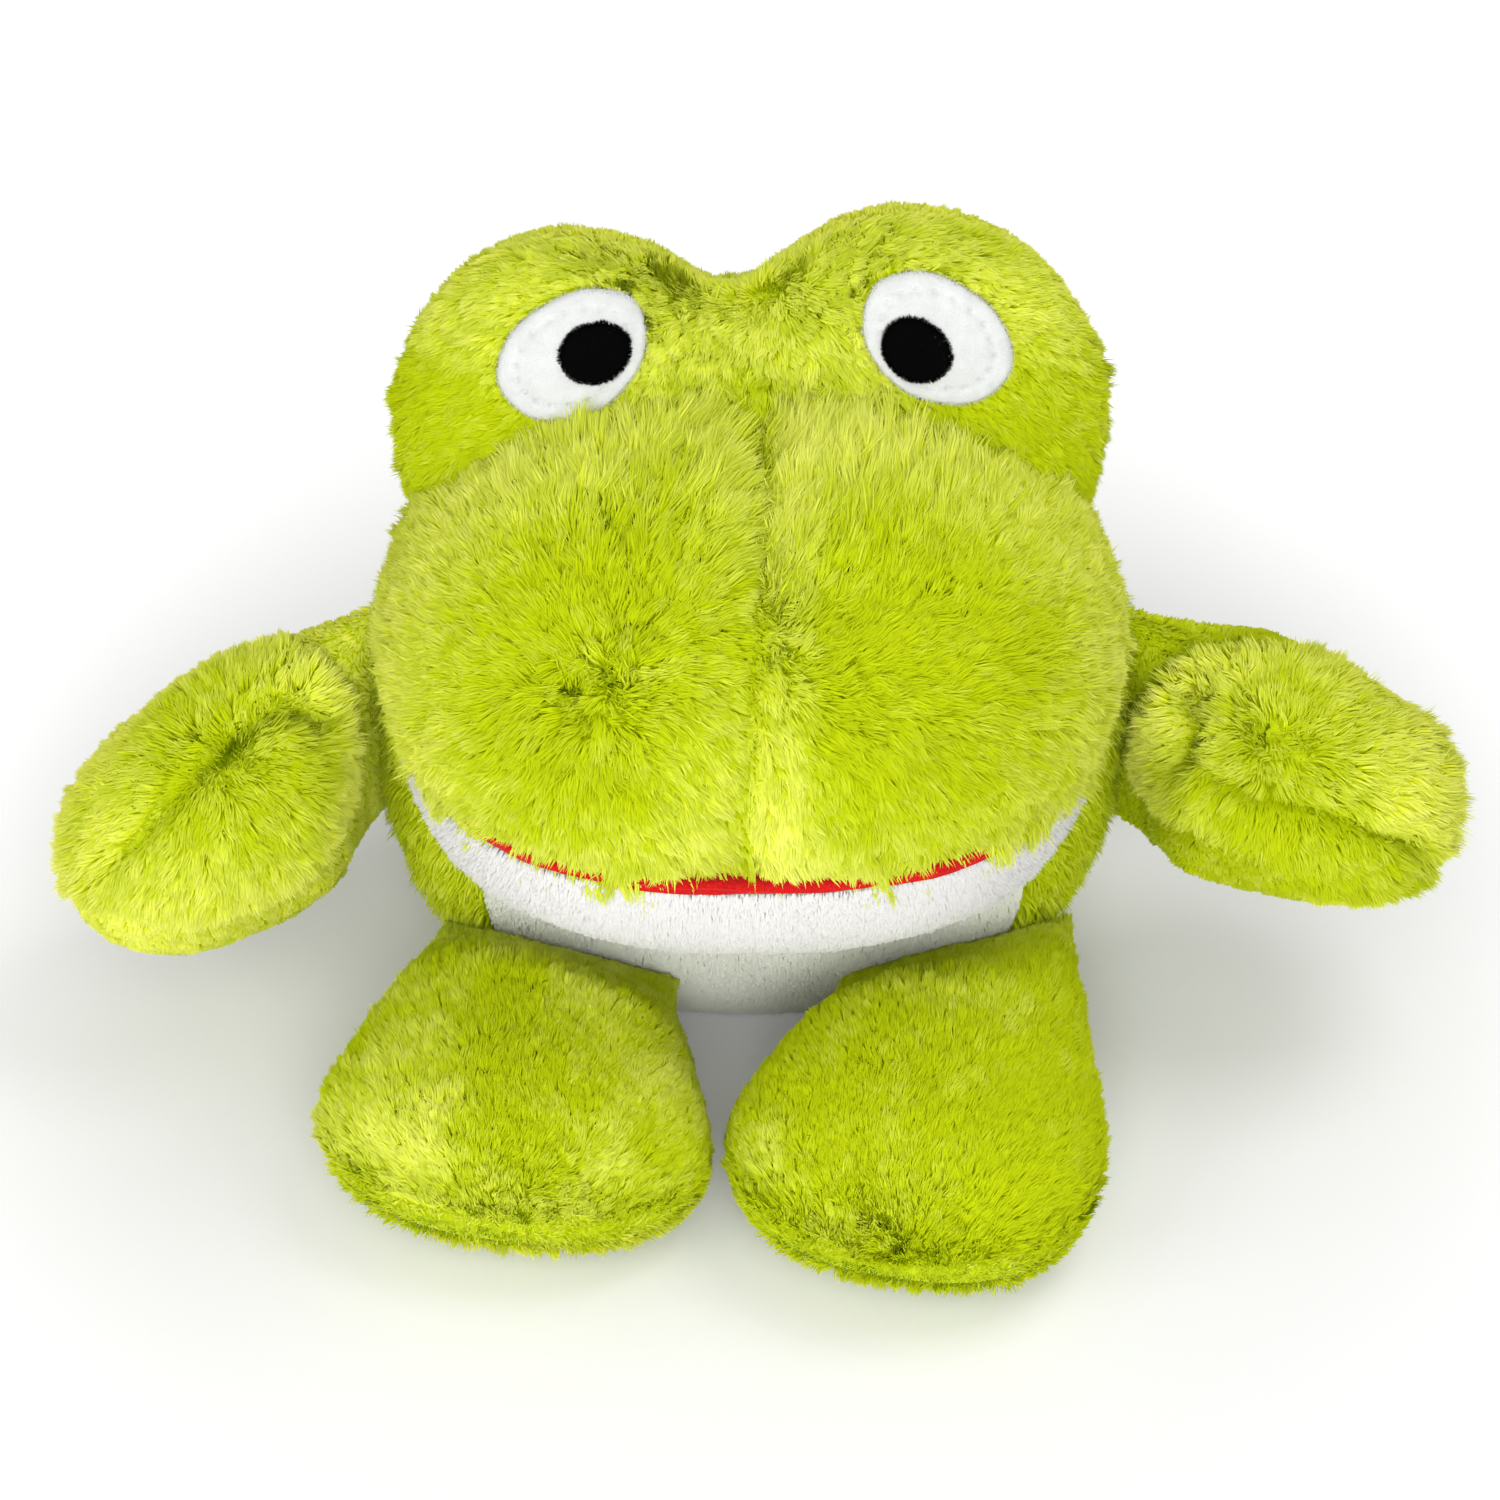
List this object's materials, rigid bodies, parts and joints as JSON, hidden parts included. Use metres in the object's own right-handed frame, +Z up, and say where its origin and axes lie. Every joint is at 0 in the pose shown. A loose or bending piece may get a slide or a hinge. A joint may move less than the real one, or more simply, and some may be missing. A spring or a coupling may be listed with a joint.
{
  "type": "plush frog",
  "caption": "Sitting plush frog with a broad snout, a felt mouth line, round felt eyes, mitt arms held out and flat-soled legs in front.",
  "frame": {"origin": "centre of the flat base panel that the frog sits on", "axes": "+Z up, -Y the way the frog faces, +X the frog's own left side, along its arm span"},
  "size_m": [0.3597, 0.1979, 0.2185],
  "materials": {
    "belly_panel": "matt",
    "back_panel": "matt",
    "base_panel": "matt",
    "body_stuffing": "matt",
    "head_front_panel": "matt",
    "head_back_panel": "matt",
    "head_stuffing": "matt",
    "left_eye_white": "matt",
    "right_eye_white": "matt",
    "left_pupil": "matt",
    "right_pupil": "matt",
    "snout_left_panel": "matt",
    "snout_right_panel": "matt",
    "snout_stuffing": "matt",
    "jaw_panel": "matt",
    "jaw_stuffing": "matt",
    "mouth_lining": "matt",
    "left_arm_front_panel": "matt",
    "left_arm_back_panel": "matt",
    "left_arm_stuffing": "matt",
    "right_arm_front_panel": "matt",
    "right_arm_back_panel": "matt",
    "right_arm_stuffing": "matt",
    "left_leg_top_panel": "matt",
    "left_leg_sole_panel": "matt",
    "left_leg_stuffing": "matt",
    "right_leg_top_panel": "matt",
    "right_leg_sole_panel": "matt",
    "right_leg_stuffing": "matt"
  },
  "bodies": {
    "torso": {"belly_panel": "belly_panel", "back_panel": "back_panel", "base_panel": "base_panel", "body_stuffing": "body_stuffing", "head_front_panel": "head_front_panel", "head_back_panel": "head_back_panel", "head_stuffing": "head_stuffing", "left_eye_white": "left_eye_white", "right_eye_white": "right_eye_white", "left_pupil": "left_pupil", "right_pupil": "right_pupil", "snout_left_panel": "snout_left_panel", "snout_right_panel": "snout_right_panel", "snout_stuffing": "snout_stuffing", "jaw_panel": "jaw_panel", "jaw_stuffing": "jaw_stuffing", "mouth_lining": "mouth_lining"},
    "left_arm": {"left_arm_front_panel": "left_arm_front_panel", "left_arm_back_panel": "left_arm_back_panel", "left_arm_stuffing": "left_arm_stuffing"},
    "right_arm": {"right_arm_front_panel": "right_arm_front_panel", "right_arm_back_panel": "right_arm_back_panel", "right_arm_stuffing": "right_arm_stuffing"},
    "left_leg": {"left_leg_top_panel": "left_leg_top_panel", "left_leg_sole_panel": "left_leg_sole_panel", "left_leg_stuffing": "left_leg_stuffing"},
    "right_leg": {"right_leg_top_panel": "right_leg_top_panel", "right_leg_sole_panel": "right_leg_sole_panel", "right_leg_stuffing": "right_leg_stuffing"}
  },
  "joints": [
    {"name": "left_arm_swing", "type": "hinge", "parent": "torso", "child": "left_arm", "pos_m": [0.10352, -0.006, 0.079], "axis": [-0.0349, 0, 0.9994], "range_deg": [-25, 50]},
    {"name": "right_arm_swing", "type": "hinge", "parent": "torso", "child": "right_arm", "pos_m": [-0.10276, -0.006, 0.079], "axis": [0.0349, 0, 0.9994], "range_deg": [-50, 25]},
    {"name": "left_leg_swing", "type": "hinge", "parent": "torso", "child": "left_leg", "pos_m": [0.052, -0.05333, 0.03], "axis": [0.9455, 0.3256, 0], "range_deg": [-12, 30]},
    {"name": "right_leg_swing", "type": "hinge", "parent": "torso", "child": "right_leg", "pos_m": [-0.0515, -0.05482, 0.03], "axis": [0.9455, -0.3256, 0], "range_deg": [-12, 30]}
  ]
}
